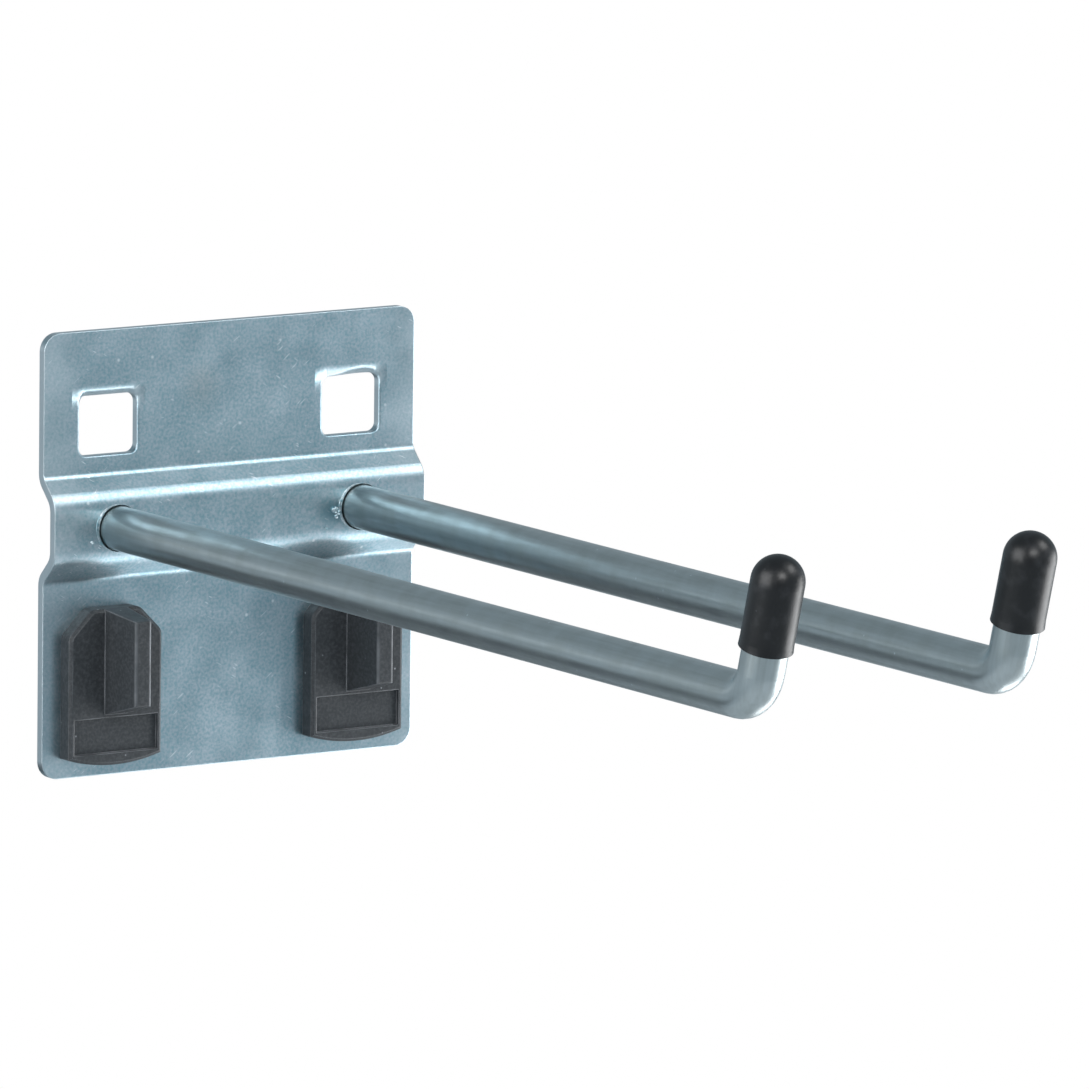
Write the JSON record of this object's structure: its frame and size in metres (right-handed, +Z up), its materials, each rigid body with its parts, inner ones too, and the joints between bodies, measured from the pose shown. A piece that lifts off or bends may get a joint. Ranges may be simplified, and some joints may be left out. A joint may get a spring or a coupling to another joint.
{
  "type": "double tool hook for a perforated panel",
  "caption": "Double tool hook for a square-hole panel: pressed zinc-plated plate, two long wire rods with capped upturned ends, and snap-in lock clips below.",
  "frame": {"origin": "on the panel face (the plate's back), midway between the two upper panel holes that the lugs enter", "axes": "+X to the right as the user faces the panel, +Y into the panel, +Z up; the rods reach out along -Y"},
  "size_m": [0.058, 0.1691, 0.06],
  "materials": {
    "plate_steel": "zinc-plated sheet, satin",
    "rod_steel": "zinc-plated drawn wire, satin",
    "cap_vinyl": "dipped black vinyl, satin",
    "clip_nylon": "moulded black nylon, fine grain"
  },
  "bodies": {
    "root": {"back_plate": "plate_steel", "rod_left": "rod_steel", "rod_right": "rod_steel", "cap_left": "cap_vinyl", "cap_right": "cap_vinyl", "clip_left": "clip_nylon", "clip_right": "clip_nylon"}
  },
  "joints": []
}
